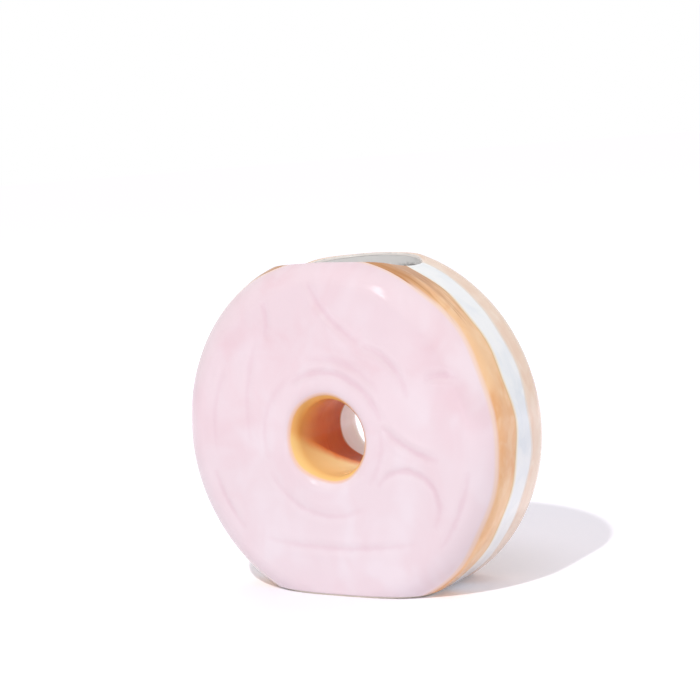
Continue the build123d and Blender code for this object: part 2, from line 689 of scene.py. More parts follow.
class IcingStrokes:
    """Soft strokes that the brush left in the icing, most of them circling the hole."""

    DEPTH = 0.34
    WIDTH = 2.0
    STEPS = 24
    SPACING = 1.0
    SHOULDER_PLACE = 2.2
    SHOULDER_SHARE = 0.35
    STROKES: tuple[Stroke, ...] = (
        Stroke(1.1, (-72, 62), 40, 15, -15),
        Stroke(1.0, (51, 104), 60, 201, 244),
        Stroke(1.0, (19, 18), 31, 79, 6),
        Stroke(1.3, (0, 0), 35, 125, 15),
        Stroke(1.3, (77, 49), 60, 223, 259),
        Stroke(0.8, (0, 0), 42, 102, 35),
        Stroke(0.7, (0, 0), 33, 10, -45),
        Stroke(0.6, (0, 0), 38, 112, 200),
        Stroke(1.2, (45, -33), 18, 155, -40),
        Stroke(1.1, (70, 8), 25, 115, 68),
        Stroke(0.9, (0, 0), 75, 193, 221),
        Stroke(0.7, (0, 200), 257, 260, 281),
        Stroke(0.7, (50, 10), 98, 153, 188),
        Stroke(0.9, (0, 0), 82, -10, -42),
        Stroke(0.6, (0, 0), 71, 146, 187),
        Stroke(0.7, (0, 0), 40, 203, 300),
    )

    def __init__(self) -> None:
        """Draw the strokes' arcs in the plane of the ring's middle, fading out at both ends."""
        self.paths = drawn("icing_strokes", [self.line(stroke) for stroke in self.STROKES])

    def line(self, stroke: Stroke) -> list[Point]:
        """Return a stroke's points, whose radius is its strength there."""
        points = []
        for step in range(self.STEPS + 1):
            share = step / self.STEPS
            x, z = stroke.place(share)
            points.append((x, 0.0, z, stroke.strength * math.sqrt(math.sin(math.pi * share))))
        return points

    def press(self, sketch: GeometrySketch, x: Flow, rise: Flow) -> Flow:
        """Work out how deep the strokes press into the coat.

        Args:
            sketch: The coat's tree.
            x: Each point's place across the ring.
            rise: Each point's height above the ring's middle.

        Returns:
            The depth in millimetres, with a low shoulder on both sides of each stroke.
        """
        curves = sketch.geometry_of(sketch.input("Strokes", "NodeSocketObject"))
        depth = sketch.size("Stroke depth", self.DEPTH)
        width = sketch.size("Stroke width", self.WIDTH)
        curves = sketch.store(curves, "strength", sketch.flow("GeometryNodeInputRadius", {}))
        spacing = {"Curve": curves, "Length": self.SPACING}
        curves = sketch.flow("GeometryNodeResampleCurve", spacing, mode="LENGTH")
        lines = sketch.flow("GeometryNodeCurveToMesh", {"Curve": curves})
        place = sketch.vector(x, 0.0, rise)
        nearest = sketch.node("GeometryNodeProximity", {0: lines}, target_element="EDGES")
        sketch.tree.links.new(place.socket, nearest.inputs["Sample Position"])
        reach = Flow(sketch, nearest.outputs["Distance"])
        distance = reach / width
        index = sketch.flow("GeometryNodeSampleNearest", {0: lines, 1: place}, domain="POINT")
        named = sketch.flow("GeometryNodeInputNamedAttribute", {"Name": "strength"}, data_type="FLOAT")
        items = {"Geometry": lines, "Value": named, "Index": index}
        strength = sketch.flow("GeometryNodeSampleIndex", items, data_type="FLOAT", domain="POINT")
        shoulder = sketch.bell(distance - self.SHOULDER_PLACE) * self.SHOULDER_SHARE
        sketch.marks["stroke"] = reach
        sketch.marks["stroke_strength"] = strength
        return (sketch.bell(distance) - shoulder) * strength * depth


class ShaderSketch(NodeSketch):
    """A material's tree, for one surface on Object coordinates."""

    def __init__(self, name: str) -> None:
        """Start a material with a name."""
        self.material = bpy.data.materials.new(name)
        self.material.use_nodes = True
        super().__init__(self.material.node_tree)
        self.surface = self.tree.nodes["Principled BSDF"]
        self.place = self.times(self.flow("ShaderNodeTexCoord", {}, "Object"), (1 / MM,) * 3)

    def pattern(self, size: Size, detail: float = 2.0, warp: float = 0.0) -> Flow:
        """Return noise over the surface, with features of a size in millimetres along each axis."""
        return self.noise(self.place, size, detail, warp)

    def attribute(self, name: str) -> Flow:
        """Return the value that the coat's points keep under a name."""
        return self.flow("ShaderNodeAttribute", {}, "Fac", attribute_name=name)

    def dress(self, colour: Flow, rough: Flow, grain: Flow, share: float, depth: float) -> None:
        """Give the surface its colour, roughness and fine relief.

        Args:
            colour: Its colour.
            rough: Its roughness.
            grain: The noise that the relief follows.
            share: How strongly the relief shows.
            depth: How deep the relief is, in millimetres.
        """
        bump = self.flow("ShaderNodeBump", {"Strength": share, "Distance": depth * MM, "Height": grain})
        for socket, value in (("Base Color", colour), ("Roughness", rough), ("Normal", bump)):
            self.tree.links.new(value.socket, self.surface.inputs[socket])


@dataclass(frozen=True)
class Edge:
    """How a finish runs into its neighbour at a border.

    Attributes:
        colour: The colour that both coats share at the border.
        width: How far from the border the finish has its own colour, in millimetres.
        line: A colour just inside the border, or none.
        reach: How far from the border that line has faded, in millimetres.
    """

    colour: Colour
    width: float
    line: Optional[Colour] = None
    reach: float = 2.2


@dataclass(frozen=True)
class GlazeFinish:
    """A hand-brushed, fired glaze.

    Attributes:
        name: The material's name.
        colour: The glaze's own colour.
        deep: Its colour where it has pooled, and where shade is painted on it.
        pale: Its colour where it runs thin.
        cloud: The size of its patches, in millimetres, along each axis.
        stroke: The size of its brush marks, in millimetres, along each axis.
        deep_share: How strongly the pooled colour shows.
        pale_share: How strongly the thin colour shows.
        first: How it ends at its first border.
        second: How it ends at its second border.
        lip: Its colour on the mouth's lip.
        browned_and_shaded: Its colour in streaks near the mouth, or none: partly glaze browned where it has
            run thick, partly painted shadow of flower stems.
        sunlit_colour: Its paler colour at the front of the hole's bottom, in the patch that the main lamp
            lights, or none: painted light.
        groove_tint_and_shade: Its colour along the strokes pressed into it, or none: partly a darker tint,
            partly painted shade in their folds.
        foot_brightening: How much paler it is painted at the foot than at the mouth: painted light that
            brightens the lower part.
        detail: How finely its patches break up.
        shade_patches: Where shade is painted in its pooled colour: X, height and reach in millimetres, seen
            from the front.
        roughness: How rough it is at its smoothest.
        gloss: Its specular level.
        coat: The weight of its clear coat.
    """

    name: str
    colour: Colour
    deep: Colour
    pale: Colour
    cloud: tuple[float, float, float]
    stroke: tuple[float, float, float]
    deep_share: float = 0.6
    pale_share: float = 0.5
    first: Optional[Edge] = None
    second: Optional[Edge] = None
    lip: Colour = (0.86, 0.84, 0.83)
    browned_and_shaded: Optional[Colour] = None
    sunlit_colour: Optional[Colour] = None
    groove_tint_and_shade: Optional[Colour] = None
    foot_brightening: float = 0.0
    detail: float = 2.5
    shade_patches: tuple[tuple[float, float, float], ...] = ()
    roughness: float = 0.14
    gloss: float = 0.5
    coat: float = 0.16
    CLOUD_RANGE: ClassVar[tuple[float, float]] = (0.42, 0.72)
    CLOUD_WARP: ClassVar[float] = 0.8
    STROKE_RANGE: ClassVar[tuple[float, float]] = (0.46, 0.74)
    STROKE_WARP: ClassVar[float] = 0.4
    FOOT_BRIGHTENING_HEIGHTS: ClassVar[tuple[float, float]] = (15.0, 140.0)
    SHADE_CORE: ClassVar[float] = 0.3
    SHADE_SHARE: ClassVar[float] = 0.7
    # Painted light: where the lamp-lit patch on the hole's bottom lies.
    SUNLIT_HEIGHT: ClassVar[float] = 64.0
    SUNLIT_SLOPE: ClassVar[float] = 0.6
    SUNLIT_REACH: ClassVar[tuple[float, float]] = (-4.0, 3.0)
    SUNLIT_WANDER: ClassVar[float] = 4.0
    DRIFT_SIZE: ClassVar[Size] = (7.0, 7.0, 7.0)
    DRIFT_DETAIL: ClassVar[float] = 3.0
    DRIFT_WARP: ClassVar[float] = 0.4
    DRIFT_REACH: ClassVar[float] = 3.2
    GROOVE_WIDTH: ClassVar[float] = 1.5
    GROOVE_SHARE: ClassVar[float] = 0.4
    GROOVE_LIMIT: ClassVar[float] = 0.9
    WANDER: ClassVar[float] = 2.4
    LINE_WANDER: ClassVar[float] = 0.3
    LINE_SHARE: ClassVar[float] = 0.75
    EDGE_WANDER: ClassVar[float] = 0.5
    EDGE_SOFTNESS: ClassVar[float] = 0.5
    STREAK_SIZE: ClassVar[Size] = (26.0, 3.0, 26.0)
    STREAK_WARP: ClassVar[float] = 0.5
    STREAK_WANDER: ClassVar[float] = 55.0
    BROWN_SHADE_REACH: ClassVar[tuple[float, float]] = (6.0, 36.0)
    LIP_WANDER: ClassVar[float] = 0.15
    LIP_REACH: ClassVar[tuple[float, float]] = (0.05, 1.1)
    LIP_SHARE: ClassVar[float] = 0.8
    ROUGH_RANGE: ClassVar[tuple[float, float]] = (0.3, 0.7)
    ROUGH_SPREAD: ClassVar[float] = 0.09
    GRAIN_SIZE: ClassVar[Size] = (7.0, 7.0, 7.0)
    RELIEF_SHARE: ClassVar[float] = 0.18
    RELIEF_DEPTH: ClassVar[float] = 0.25
    COAT_ROUGHNESS: ClassVar[float] = 0.04

    def material(self) -> bpy.types.Material:
        """Build the glaze's material.

        Returns:
            The material, on Object coordinates and the coat's own attributes.
        """
        sketch = ShaderSketch(self.name)
        clouds = sketch.pattern(self.cloud, self.detail, self.CLOUD_WARP)
        strokes = sketch.pattern(self.stroke, warp=self.STROKE_WARP)
        colour = self.brush(sketch, clouds, strokes)
        if self.sunlit_colour is not None:
            colour = self.paint_sunlit_patch(sketch, colour, clouds)
        if self.groove_tint_and_shade is not None:
            colour = self.fill(sketch, colour)
        wander = (strokes - 0.5) * self.WANDER
        for edge, name in ((self.first, "first_edge"), (self.second, "second_edge")):
            if edge is not None:
                colour = self.run_into(sketch, colour, edge, sketch.attribute(name), wander)
        lip = sketch.attribute("lip")
        if self.browned_and_shaded is not None:
            colour = self.brown_and_shade(sketch, colour, lip)
        thin = sketch.ramp(lip + wander * self.LIP_WANDER, *self.LIP_REACH, self.LIP_SHARE, 0.0, True)
        colour = sketch.blend(thin, colour, self.lip)
        rough = sketch.ramp(strokes, *self.ROUGH_RANGE, self.roughness, self.roughness + self.ROUGH_SPREAD)
        grain = sketch.pattern(self.GRAIN_SIZE)
        sketch.dress(colour, rough, grain, self.RELIEF_SHARE, self.RELIEF_DEPTH)
        sketch.surface.inputs["Specular IOR Level"].default_value = self.gloss
        sketch.surface.inputs["Coat Weight"].default_value = self.coat
        sketch.surface.inputs["Coat Roughness"].default_value = self.COAT_ROUGHNESS
        return sketch.material

    def brush(self, sketch: ShaderSketch, clouds: Flow, strokes: Flow) -> Flow:
        """Mix the glaze's own colour with its pooled and thin ones, with painted shade in its pooled colour
        round given places and painted light that turns it paler towards the foot.

        Args:
            sketch: The material's tree.
            clouds: The noise that its patches follow.
            strokes: The noise that its brush marks follow.

        Returns:
            The mixed colour.
        """
        x, _, height = sketch.split(sketch.place)
        pooled = sketch.ramp(clouds, *self.CLOUD_RANGE, 0.0, self.deep_share, smooth=True)
        thin = sketch.ramp(strokes, *self.STROKE_RANGE, 0.0, self.pale_share, smooth=True)
        # Painted light: paler towards the foot, most at the lowest of these heights.
        if self.foot_brightening:
            thin = thin + sketch.ramp(height, *self.FOOT_BRIGHTENING_HEIGHTS, self.foot_brightening, 0.0)
            thin = sketch.math("MINIMUM", thin, 1.0)
        # Painted shade: darken towards the pooled colour round each of these places.
        for patch_x, patch_height, reach in self.shade_patches:
            away = sketch.math("SQRT", (x - patch_x) ** 2.0 + (height - patch_height) ** 2.0)
            away = away + (strokes - 0.5) * reach
            core = reach * self.SHADE_CORE
            pooled = pooled + sketch.ramp(away, core, reach, self.SHADE_SHARE, 0.0, smooth=True)
        pooled = sketch.math("MINIMUM", pooled, 1.0)
        return sketch.blend(thin, sketch.blend(pooled, self.colour, self.deep), self.pale)

    def paint_sunlit_patch(self, sketch: ShaderSketch, colour: Flow, clouds: Flow) -> Flow:
        """Paint light: turn the glaze pale at the front of the hole's bottom, in the patch that the main lamp
        lights.

        Args:
            sketch: The material's tree.
            colour: The colour so far.
            clouds: The noise that its patches follow.

        Returns:
            The new colour.
        """
        _, depth, height = sketch.split(sketch.place)
        # Painted light: grows below the slanted edge of the lamp-lit patch on the hole's bottom.
        below = self.SUNLIT_HEIGHT - height - depth * self.SUNLIT_SLOPE
        below = below + (clouds - 0.5) * self.SUNLIT_WANDER
        return sketch.blend(sketch.ramp(below, *self.SUNLIT_REACH, smooth=True), colour, self.sunlit_colour)

    def fill(self, sketch: ShaderSketch, colour: Flow) -> Flow:
        """Darken the glaze along the strokes pressed into it: partly a darker tint, partly painted shade in
        their folds.

        Args:
            sketch: The material's tree.
            colour: The colour so far.

        Returns:
            The new colour.
        """
        drift = sketch.pattern(self.DRIFT_SIZE, self.DRIFT_DETAIL, self.DRIFT_WARP) - 0.5
        away = (sketch.attribute("stroke") + drift * self.DRIFT_REACH) / self.GROOVE_WIDTH
        # Partly painted shade: darker along each stroke's fold.
        darkened = sketch.bell(away) * sketch.attribute("stroke_strength") * self.GROOVE_SHARE
        return sketch.blend(sketch.math("MINIMUM", darkened, self.GROOVE_LIMIT), colour, self.groove_tint_and_shade)

    def run_into(self, sketch: ShaderSketch, colour: Flow, edge: Edge, distance: Flow, wander: Flow) -> Flow:
        """Let the glaze run into its neighbour at a border.

        Args:
            sketch: The material's tree.
            colour: The colour so far.
            edge: How the glaze ends there.
            distance: How far a point lies from the border.
            wander: How far the brush strays, in millimetres.

        Returns:
            The new colour.
        """
        if edge.line is not None:
            strayed = distance + wander * self.LINE_WANDER
            near = sketch.ramp(strayed, edge.width, edge.reach, self.LINE_SHARE, 0.0, True)
            colour = sketch.blend(near, colour, edge.line)
        own = sketch.ramp(distance + wander * self.EDGE_WANDER, 0.0, edge.width, smooth=True)
        own = sketch.math("MINIMUM", own, sketch.ramp(distance, 0.0, self.EDGE_SOFTNESS))
        return sketch.blend(own, edge.colour, colour)

    def brown_and_shade(self, sketch: ShaderSketch, colour: Flow, lip: Flow) -> Flow:
        """Brown the glaze in streaks near the mouth: partly glaze run thick, partly painted shadow of flower
        stems.

        Args:
            sketch: The material's tree.
            colour: The colour so far.
            lip: How far a point lies from the mouth.

        Returns:
            The new colour.
        """
        streaks = sketch.pattern(self.STREAK_SIZE, warp=self.STREAK_WARP)
        away = lip + (streaks - 0.5) * self.STREAK_WANDER
        # Painted shadow of flower stems, together with browned glaze, fading out away from the mouth.
        thick = sketch.ramp(away, *self.BROWN_SHADE_REACH, 1.0, 0.0, smooth=True)
        return sketch.blend(thick, colour, self.browned_and_shaded)


@dataclass(frozen=True)
class BareFinish:
    """Fired, unglazed clay.

    Attributes:
        name: The material's name.
        colour: The clay's own colour.
        dark: The colour of its patches and grains.
    """

    name: str
    colour: Colour
    dark: Colour
    PATCH_SIZE: ClassVar[Size] = (16.0, 16.0, 16.0)
    PATCH_DETAIL: ClassVar[float] = 4.0
    PATCH_RANGE: ClassVar[tuple[float, float]] = (0.35, 0.7)
    PATCH_SHARE: ClassVar[float] = 0.6
    GRAIN_SIZE: ClassVar[Size] = (0.5, 0.5, 0.5)
    GRAIN_DETAIL: ClassVar[float] = 3.0
    GRAIN_RANGE: ClassVar[tuple[float, float]] = (0.6, 0.8)
    GRAIN_SHARE: ClassVar[float] = 0.4
    ROUGH_RANGE: ClassVar[tuple[float, float]] = (0.3, 0.7)
    ROUGHNESS: ClassVar[tuple[float, float]] = (0.75, 0.95)
    RELIEF_SHARE: ClassVar[float] = 0.5
    RELIEF_DEPTH: ClassVar[float] = 0.08

    def material(self) -> bpy.types.Material:
        """Build the clay's material, with fine grain.

        Returns:
            The material, on Object coordinates.
        """
        sketch = ShaderSketch(self.name)
        patches = sketch.pattern(self.PATCH_SIZE, self.PATCH_DETAIL)
        grain = sketch.pattern(self.GRAIN_SIZE, self.GRAIN_DETAIL)
        share = sketch.ramp(patches, *self.PATCH_RANGE, 0.0, self.PATCH_SHARE)
        share = share + sketch.ramp(grain, *self.GRAIN_RANGE, 0.0, self.GRAIN_SHARE)
        colour = sketch.blend(share, self.colour, self.dark)
        rough = sketch.ramp(grain, *self.ROUGH_RANGE, *self.ROUGHNESS)
        sketch.dress(colour, rough, grain, self.RELIEF_SHARE, self.RELIEF_DEPTH)
        return sketch.material


class Palette:
    """The vase's finishes."""

    ICING_TO_DOUGH = paint(244, 214, 200)
    DOUGH_TO_CREAM = paint(244, 224, 196)
    CREAM_TO_REAR = paint(236, 222, 212)
    ICING_TO_HOLE = paint(244, 206, 190)
    HOLE_TO_REAR = paint(214, 160, 122)
    RING_CLOUD = (20.0, 15.0, 20.0)
    RING_STROKE = (12.0, 9.0, 12.0)

    def __init__(self) -> None:
        """Build every finish's material."""
        cloud, stroke = self.RING_CLOUD, self.RING_STROKE
        self.icing = GlazeFinish(
            "pink_icing_glaze", paint(238, 215, 222), paint(235, 203, 211), paint(243, 228, 235),
            (34.0, 34.0, 34.0), (26.0, 26.0, 34.0), 0.8, 0.5,
            Edge(self.ICING_TO_DOUGH, 2.2), Edge(self.ICING_TO_HOLE, 1.8),
            # Painted light: the runoff turns the icing paler towards the foot.
            groove_tint_and_shade=paint(226, 190, 202), foot_brightening=0.6, detail=5.0,
            # Painted shade: the pools darken the front towards its right edge.
            shade_patches=((70.0, 112.0, 24.0), (90.0, 84.0, 28.0)), roughness=0.06, coat=0.1,
        ).material()
        # Painted shade: the pool darkens the band at the right side's middle height.
        self.front_dough = GlazeFinish(
            "caramel_dough_glaze", paint(246, 200, 153), paint(237, 176, 122), paint(249, 214, 175),
            cloud, stroke, 0.7, 0.45,
            Edge(self.ICING_TO_DOUGH, 2.6), Edge(self.DOUGH_TO_CREAM, 1.0, paint(228, 186, 136)),
            # Partly painted shadow of flower stems: the browned streaks near the mouth.
            browned_and_shaded=paint(194, 134, 80), shade_patches=((95.0, 80.0, 30.0),), gloss=0.35,
        ).material()
        # Painted shade: the pool darkens the band at the right side's middle height.
        self.cream = GlazeFinish(
            "white_cream_glaze", paint(246, 247, 250), paint(231, 236, 243), paint(250, 251, 250),
            cloud, stroke, 0.6, 0.5,
            Edge(self.DOUGH_TO_CREAM, 1.0, paint(246, 240, 226)), Edge(self.CREAM_TO_REAR, 1.4),
            shade_patches=((95.0, 88.0, 24.0),),
        ).material()
        self.rear_dough = GlazeFinish(
            "pale_dough_glaze", paint(240, 212, 190), paint(230, 189, 160), paint(246, 228, 211),
            (24.0, 16.0, 24.0), (15.0, 10.0, 15.0), 0.6, 0.5,
            # Partly paler glaze on the rear lip, partly painted light: the rear coat turns near white and
            # lilac inside the hole.
            Edge(self.CREAM_TO_REAR, 1.8), Edge(self.HOLE_TO_REAR, 0.9, paint(254, 248, 255), 26.0),
            gloss=0.8, coat=0.4,
        ).material()
        # Partly painted shade: the hole's orange is darker and more saturated than the band's caramel.
        self.hole = GlazeFinish(
            "caramel_hole_glaze", paint(236, 132, 48), paint(220, 104, 30), paint(242, 152, 70),
            (24.0, 16.0, 24.0), (13.0, 4.0, 13.0), 0.6, 0.4,
            # Painted shade: darker orange deep in the hole, near its rear border.
            Edge(self.HOLE_TO_REAR, 1.0, paint(206, 92, 26), 20.0),
            # Painted light: golden near the hole's front opening.
            Edge(self.ICING_TO_HOLE, 1.6, paint(252, 204, 127), 30.0),
            # Painted light: the settled colour fills the lamp-lit patch on the hole's bottom.
            sunlit_colour=paint(255, 232, 168), gloss=0.12, coat=0.0,
        ).material()
        self.liner = GlazeFinish(
            "white_liner_glaze", paint(244, 243, 241), paint(232, 232, 233), paint(248, 247, 244),
            (28.0, 28.0, 28.0), (14.0, 14.0, 14.0), 0.5, 0.4,
        ).material()
        self.bisque = BareFinish("bare_bisque", paint(233, 224, 212), paint(214, 202, 188)).material()


@dataclass
class Piece:
    """A finished piece and what it stands for."""

    name: str
    node: str
    slot: str
    mesh: bpy.types.Mesh

    def show(self) -> None:
        """Put the piece in the scene, on the body that carries it."""
        obj = placed(self.name, self.mesh)
        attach(obj, "root")
        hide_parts(self.node)
        LOG.info("%s: %d points, %d faces", self.name, len(self.mesh.vertices), len(self.mesh.polygons))


@dataclass
class GlazeCoats:
    """The fired coats of the ring's outside: icing, dough, cream and the hole's lining."""

    form: RingForm
    palette: Palette
    LEAST_COLUMNS: ClassVar[int] = 2
    HALVINGS: ClassVar[int] = 60
    thickness: float = 0.7
    sharp_turn: float = math.radians(40)
    column_step: float = 1.5
    top_step: float = 1.0
    mouth_runs: tuple[tuple[float, float], ...] = ((2.5, 0.3), (6.0, 0.6))
    foot_runs: tuple[tuple[float, float], ...] = ((0.008, 0.07), (0.03, 0.3), (0.1, 0.8))
    icing_border: Border = Border(-25.6, ((3, 0.4, 0.0), (8, 0.7, 0.5), (13, 0.4, 2.0)))
    cream_border: Border = Border(-8.3, ((4, 0.9, 1.5), (9, 0.7, 0.0), (16, 0.9, 3.0)))
    rear_border: Border = Border(8.0, ((3, 0.6, 4.5), (7, 0.5, 3.0), (11, 0.8, 1.0), (16, 0.5, 0.0)))
    hole_front_waves: Waves = ((1, 0.8, 2.5), (3, 0.5, 1.0), (5, 0.3, 0.0))
    hole_rear_waves: Waves = ((2, 1.5, -1.5), (3, 0.8, 0.5), (6, 0.5, 2.0))
    icing_lip_depth: float = 33.9
    hole_coat_depth: float = 12.5
    icing_rows: int = 92
    rear_rows: int = 88
    hole_rows: int = 48
    hole_columns: int = 181
    front_dough_rows: int = 24
    cream_rows: int = 22
    face_crowding: float = 1.45
    flank_crowding: float = 1.6
    flank_turn: float = 2.4

    def __post_init__(self) -> None:
        """Draw the section's outline and place the hole's borders on it."""
        form = self.form
        points = form.outline()
        self.outline = drawn("glaze_outline", [[(radius, depth, 0.0, 1.0) for radius, depth in points]])
        self.length = sum(math.dist(a, b) for a, b in zip(points, points[1:]))
        lip = form.front_lip + form.glaze
        turn = math.asin((self.icing_lip_depth - form.front_lip_middle[1]) / lip)
        self.hole_front = Border(form.along("front_lip") + lip * turn, self.hole_front_waves)
        self.hole_rear = Border(
            form.along("hole") + form.rear_lip_middle[1] - self.hole_coat_depth, self.hole_rear_waves)

    def grow(self, name: str, sketch: GeometrySketch, values: dict[str, Any]) -> bpy.types.Mesh:
        """Run a coat's tree, give the coat its thickness and turn it into a plain mesh.

        Args:
            name: The piece's name.
            sketch: The coat's tree.
            values: What the tree's named inputs take.

        Returns:
            The coat as a closed mesh.
        """
        host = placed(name, bpy.data.meshes.new(name))
        growth = host.modifiers.new("coat", "NODES")
        growth.node_group = sketch.tree
        values = {"Outline": self.outline, "Outline length": self.length, **values}
        for item in sketch.tree.interface.items_tree:
            if item.in_out == "INPUT" and item.name in values:
                growth[item.identifier] = values[item.name]
        wall = host.modifiers.new("thickness", "SOLIDIFY")
        wall.thickness = self.thickness * MM
        wall.offset = -1.0
        graph = bpy.context.evaluated_depsgraph_get()
        mesh = bpy.data.meshes.new_from_object(host.evaluated_get(graph), preserve_all_data_layers=True,
                                               depsgraph=graph)
        host.modifiers.clear()
        bpy.data.objects.remove(host)
        mesh.name = name
        mesh.set_sharp_from_angle(angle=self.sharp_turn)
        return mesh

    def meeting(self, border: Border, side: Face, hand: Hand, foot: bool) -> float:
        """Find the angle at which a border runs into the mouth or the foot.

        Args:
            border: The border.
            side: The side of the ring that the border is on.
            hand: The left or the right half of the ring.
            foot: Whether to look at the foot and not at the mouth.

        Returns:
            The angle from the top, positive on both hands.
        """
        limit = self.form.foot_path if foot else self.form.mouth_path
        low, high = (math.pi / 2, math.pi) if foot else (0.0, math.pi / 2)
        for _ in range(self.HALVINGS):
            middle = (low + high) / 2
            inside = limit(middle) > side.value * border.at(hand.value * middle)
            if inside == foot:
                high = middle
            else:
                low = middle
        return (low + high) / 2

    def turns(self, border: Border, side: Face) -> tuple[list[tuple[float, float]], int]:
        """Spread a face's columns round the ring, with one at each corner of its edge.

        Args:
            border: The face's outer border.
            side: Which face it is.

        Returns:
            Stops of column share and angle, and the number of columns.
        """
        halves = []
        for hand in (Hand.LEFT, Hand.RIGHT):
            foot = self.meeting(border, side, hand, True)
            mouth = self.meeting(border, side, hand, False)
            near = [(reach / self.form.outer_radius, step) for reach, step in self.mouth_runs]
            runs = [(mouth - near[-1][0], self.top_step)]
            runs += [(mouth - inner, step) for (inner, _), (_, step) in zip(near[-2::-1], near[:0:-1])]
            runs += [(mouth, near[0][1])]
            runs += [(mouth + reach, step) for reach, step in near]
            runs += [(foot, self.column_step)]
            runs += [(foot + reach, step) for reach, step in self.foot_runs]
            runs += [(math.pi, self.column_step)]
            halves.append(runs)
        left = [-turn for turn, _ in reversed(halves[0])]
        turns = left + [0.0] + [turn for turn, _ in halves[1]]
        steps = [step for _, step in reversed(halves[0])] + [step for _, step in halves[1]]
        counts = [
            max(self.LEAST_COLUMNS, round((end - start) * self.form.outer_radius / step))
            for start, end, step in zip(turns, turns[1:], steps)
        ]
        total = sum(counts)
        shares = [sum(counts[:index]) / total for index in range(len(turns))]
        return list(zip(shares, turns)), total + 1

    def face(self, name: str, border: Border, hole: Border, side: Face, rows: int,
             finish: bpy.types.Material, strokes: Optional[IcingStrokes] = None) -> bpy.types.Mesh:
        """Make the coat of the front or back face, from its outer border to its border in the hole.

        Args:
            name: The piece's name.
            border: The outer border.
            hole: The border in the hole.
            side: Which face it is.
            rows: How many rows of points it has.
            finish: Its material.
            strokes: Strokes to press into it.

        Returns:
            The coat's mesh.
        """
        sketch = GeometrySketch(name, self.form)
        mesh, across, down = sketch.grid()
        stops, columns = self.turns(border, side)
        turn = sketch.stepped(across, stops)
        edge = sketch.border(border, turn) * side.value
        outer = sketch.math("MAXIMUM", edge, sketch.mouth_path(turn))
        outer = sketch.math("MAXIMUM", outer, sketch.foot_path(turn))
        inner = sketch.border(hole, turn)
        if side is Face.FRONT:
            inner = sketch.path_length - inner
        place = outer + (inner - outer) * down ** self.face_crowding
        sketch.marks["first_edge"] = sketch.math("ABSOLUTE", place - edge)
        sketch.marks["second_edge"] = sketch.math("ABSOLUTE", inner - place)
        length = place if side is Face.REAR else sketch.path_length - place
        sketch.lay(mesh, turn, length, strokes)
        values = {"Columns": columns, "Rows": rows, "Finish": finish, "Flip": side is Face.FRONT}
        if strokes is not None:
            values["Strokes"] = strokes.paths
        return self.grow(name, sketch, values)

    def flank(self, name: str, front: Border, rear: Border, hand: Hand, rows: int,
              finish: bpy.types.Material) -> bpy.types.Mesh:
        """Make a band's coat on one side of the ring, from the mouth down to the foot.

        Args:
            name: The piece's name.
            front: The band's front border.
            rear: The band's rear border.
            hand: The left or the right side.
            rows: How many rows of points it has across.
            finish: Its material.

        Returns:
            The coat's mesh.
        """
        sketch = GeometrySketch(name, self.form)
        mesh, down, across = sketch.grid()
        reach = down ** self.flank_crowding
        place = front.base + (rear.base - front.base) * across
        for _ in range(sketch.ROUNDS):
            depth = sketch.math("ABSOLUTE", place)
            bend = sketch.past_corner(depth) / sketch.corner_round
            deep = sketch.math("MINIMUM", depth, sketch.corner_depth)
            deep = deep + sketch.math("SINE", bend) * sketch.corner_round
            radius = sketch.rim_radius(deep)
            mouth = sketch.math(
                "ARCSINE", sketch.mouth_share(deep / sketch.half_depth) * sketch.half_width / radius)
            foot = math.pi - sketch.math("ARCCOSINE", (sketch.height - sketch.foot_margin) / radius)
            turn = (mouth + (foot - mouth) * reach) * hand.value
            first, second = sketch.border(front, turn), sketch.border(rear, turn)
            place = first + (second - first) * across
        sketch.marks["first_edge"] = place - first
        sketch.marks["second_edge"] = second - place
        length = sketch.math("FLOORED_MODULO", place, sketch.path_length)
        sketch.lay(mesh, turn, length)
        columns = round(self.form.outer_radius * self.flank_turn / self.column_step)
        flip = hand is Hand.LEFT
        return self.grow(name, sketch, {"Columns": columns, "Rows": rows, "Finish": finish, "Flip": flip})

    def lining(self, name: str, rows: int, finish: bpy.types.Material) -> bpy.types.Mesh:
        """Make the hole's coat.

        Args:
            name: The piece's name.
            rows: How many rows of points it has along the hole.
            finish: Its material.

        Returns:
            The coat's mesh.
        """
        sketch = GeometrySketch(name, self.form)
        mesh, around, along = sketch.grid()
        turn = (around - 0.5) * (2 * math.pi)
        first, second = sketch.border(self.hole_rear, turn), sketch.border(self.hole_front, turn)
        place = first + (second - first) * along
        sketch.marks["first_edge"] = place - first
        sketch.marks["second_edge"] = second - place
        sketch.lay(mesh, turn, place)
        values = {"Columns": self.hole_columns, "Rows": rows, "Finish": finish, "Flip": False}
        return self.grow(name, sketch, values)

    def build(self) -> list[Piece]:
        """Make every coat.

        Returns:
            The coats of the two faces and the hole, then those of the side's bands.
        """
        finishes = self.palette
        strokes = IcingStrokes()
        pieces = [
            Piece("icing_coat", "icing_glaze", "pink_icing", self.face(
                "icing_coat", self.icing_border, self.hole_front, Face.FRONT, self.icing_rows,
                finishes.icing, strokes)),
            Piece("rear_dough_coat", "rear_dough_glaze", "pale_dough", self.face(
                "rear_dough_coat", self.rear_border, self.hole_rear, Face.REAR, self.rear_rows,
                finishes.rear_dough)),
            Piece("hole_coat", "hole_glaze", "caramel_dough", self.lining(
                "hole_coat", self.hole_rows, finishes.hole)),
        ]
        for hand in (Hand.LEFT, Hand.RIGHT):
            word = hand.name.lower()
            dough, cream = f"front_dough_coat_{word}", f"cream_coat_{word}"
            pieces.append(Piece(dough, f"front_dough_glaze_{word}", "caramel_dough", self.flank(
                dough, self.icing_border, self.cream_border, hand, self.front_dough_rows,
                finishes.front_dough)))
            pieces.append(Piece(cream, f"cream_glaze_{word}", "white_cream", self.flank(
                cream, self.cream_border, self.rear_border, hand, self.cream_rows, finishes.cream)))
        for helper in (self.outline, strokes.paths):
            bpy.data.objects.remove(helper)
        return pieces


